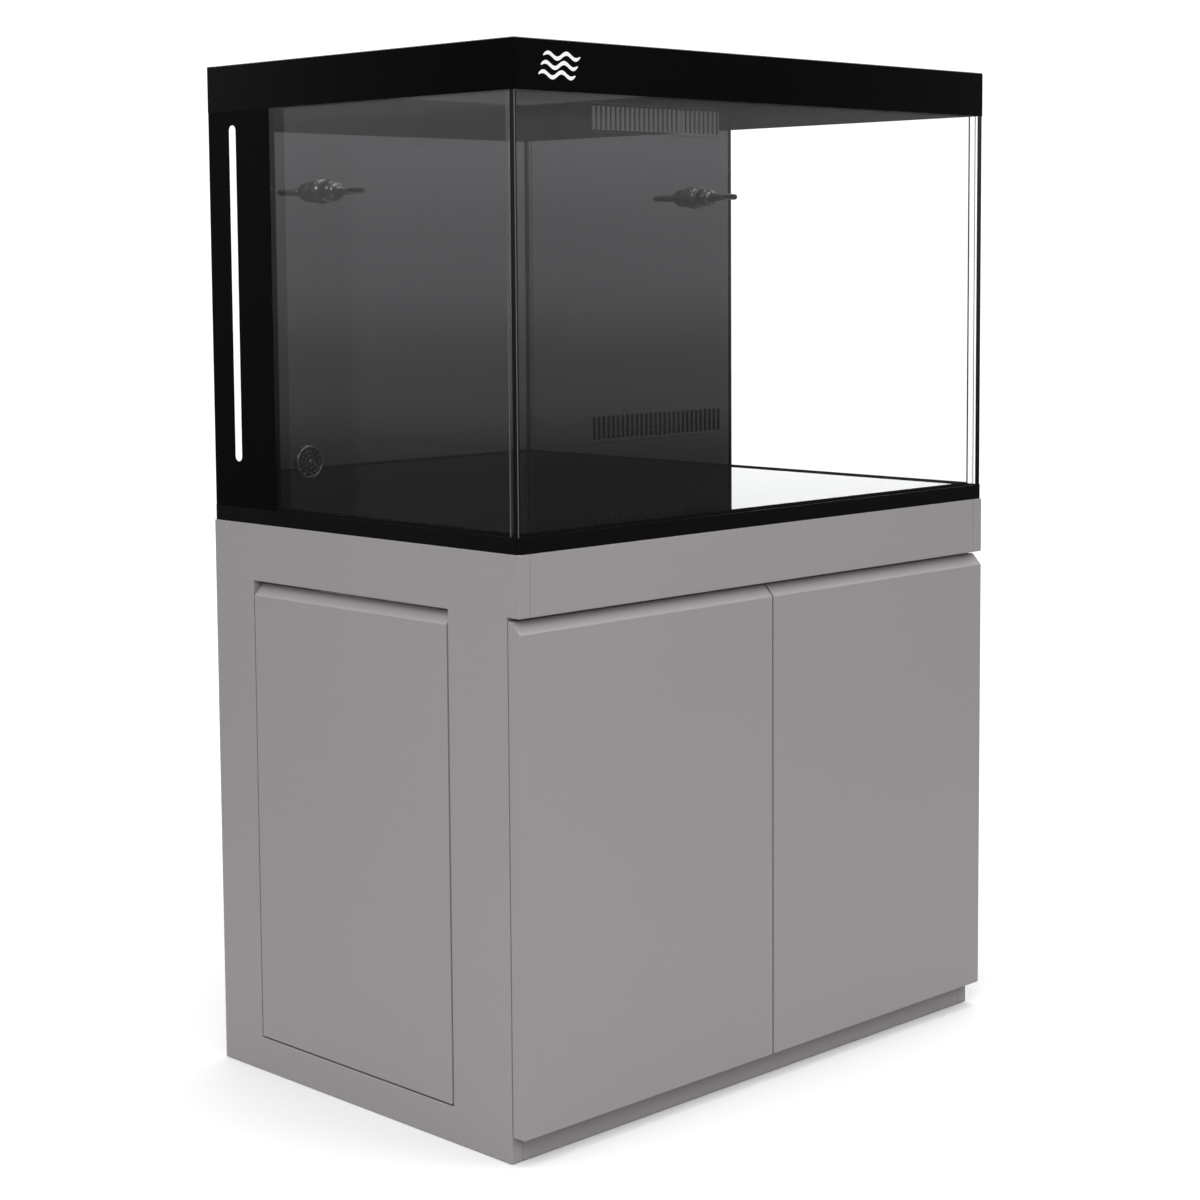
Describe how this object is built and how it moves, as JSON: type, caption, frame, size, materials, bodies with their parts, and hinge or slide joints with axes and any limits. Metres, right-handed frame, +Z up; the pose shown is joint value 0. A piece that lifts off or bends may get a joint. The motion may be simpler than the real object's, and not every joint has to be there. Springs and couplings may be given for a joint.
{
  "type": "aquarium on stand",
  "caption": "Glass aquarium with a black rear filter chamber, on a grey cabinet with hinged front doors and a side door.",
  "frame": {"origin": "middle of the footprint, on the floor", "axes": "+X to the right seen from the front, +Y to the back, +Z up; the front doors face -Y"},
  "size_m": [0.9, 0.6, 1.34],
  "materials": {
    "cabinet_paint": "satin grey lacquer on board",
    "hinge_steel": "nickel plated",
    "catch_plastic": "light grey moulded",
    "trim_plastic": "black, satin gloss",
    "foam": "closed-cell foam",
    "glass": "clear float glass with polished edges",
    "black_glass": "black, mirror gloss",
    "black_film": "black film behind glass",
    "silicone": "black silicone",
    "window_acrylic": "frosted white",
    "black_plastic": "black moulded",
    "sponge": "open-cell filter foam"
  },
  "bodies": {
    "stand": {"back_panel": "cabinet_paint", "baffle_left": "black_plastic", "baffle_right": "black_plastic", "base_trim": "trim_plastic", "bottom_glass": "glass", "bottom_panel": "cabinet_paint", "bulkhead_left": "black_plastic", "bulkhead_right": "black_plastic", "catch_front": "catch_plastic", "catch_side": "catch_plastic", "centre_partition": "cabinet_paint", "chamber_film_left": "black_film", "chamber_film_right": "black_film", "cross_pipe": "black_plastic", "divider_panel": "black_glass", "drain_strainer": "black_plastic", "fascia_rail": "cabinet_paint", "floor_panel": "black_glass", "front_glass": "glass", "hinge_arm_door_left_lower": "hinge_steel", "hinge_arm_door_left_upper": "hinge_steel", "hinge_arm_door_right_lower": "hinge_steel", "hinge_arm_door_right_upper": "hinge_steel", "hinge_arm_side_door_lower": "hinge_steel", "hinge_arm_side_door_upper": "hinge_steel", "left_glass": "glass", "level_window": "window_acrylic", "leveling_mat": "foam", "lower_grille": "black_plastic", "plinth_rail": "cabinet_paint", "pump_body": "black_plastic", "pump_cover": "black_plastic", "rear_glass": "black_glass", "right_glass": "glass", "riser_pipe": "black_plastic", "side_door_post": "cabinet_paint", "side_door_stop": "cabinet_paint", "side_panel_left": "cabinet_paint", "side_panel_right": "cabinet_paint", "silicone_seam_left": "silicone", "silicone_seam_right": "silicone", "top_band": "black_film", "top_panel": "cabinet_paint", "weir_comb": "black_plastic"},
    "door_left": {"door_left": "cabinet_paint", "hinge_cup_door_left_lower": "hinge_steel", "hinge_cup_door_left_upper": "hinge_steel"},
    "door_right": {"door_right": "cabinet_paint", "hinge_cup_door_right_lower": "hinge_steel", "hinge_cup_door_right_upper": "hinge_steel"},
    "side_door": {"side_door": "cabinet_paint", "hinge_cup_side_door_lower": "hinge_steel", "hinge_cup_side_door_upper": "hinge_steel"},
    "nozzle_pan_left": {"nozzle_ball_left": "black_plastic"},
    "nozzle_pan_right": {"nozzle_ball_right": "black_plastic"},
    "nozzle_tilt_left": {"nozzle_tip_left": "black_plastic"},
    "nozzle_tilt_right": {"nozzle_tip_right": "black_plastic"},
    "impeller": {"pump_impeller": "black_plastic"},
    "basket": {"media_basket": "black_plastic", "filter_sponge": "sponge"}
  },
  "joints": [
    {"name": "door_left_hinge", "type": "hinge", "parent": "stand", "child": "door_left", "pos_m": [-0.45, -0.279, 0.347], "axis": [0, 0, -1], "range_deg": [0, 105]},
    {"name": "door_right_hinge", "type": "hinge", "parent": "stand", "child": "door_right", "pos_m": [0.45, -0.279, 0.347], "axis": [0, 0, 1], "range_deg": [0, 105]},
    {"name": "side_door_hinge", "type": "hinge", "parent": "stand", "child": "side_door", "pos_m": [-0.45, 0.21575, 0.354], "axis": [0, 0, -1], "range_deg": [0, 100]},
    {"name": "nozzle_left_pan", "type": "hinge", "parent": "stand", "child": "nozzle_pan_left", "pos_m": [-0.36, 0.151, 1.175], "axis": [0, 0, 1], "range_deg": [-25, 25]},
    {"name": "nozzle_left_tilt", "type": "hinge", "parent": "nozzle_pan_left", "child": "nozzle_tilt_left", "pos_m": [-0.36, 0.151, 1.175], "axis": [1, 0, 0], "range_deg": [-25, 25]},
    {"name": "nozzle_right_pan", "type": "hinge", "parent": "stand", "child": "nozzle_pan_right", "pos_m": [0.36, 0.151, 1.175], "axis": [0, 0, 1], "range_deg": [-25, 25]},
    {"name": "nozzle_right_tilt", "type": "hinge", "parent": "nozzle_pan_right", "child": "nozzle_tilt_right", "pos_m": [0.36, 0.151, 1.175], "axis": [1, 0, 0], "range_deg": [-25, 25]},
    {"name": "impeller_spin", "type": "hinge", "parent": "stand", "child": "impeller", "pos_m": [-0.3, 0.209, 0.7956], "axis": [0, 1, 0], "continuous": true},
    {"name": "basket_lift", "type": "slide", "parent": "stand", "child": "basket", "axis": [0, 0, 1], "range_m": [0, 0.6]}
  ]
}
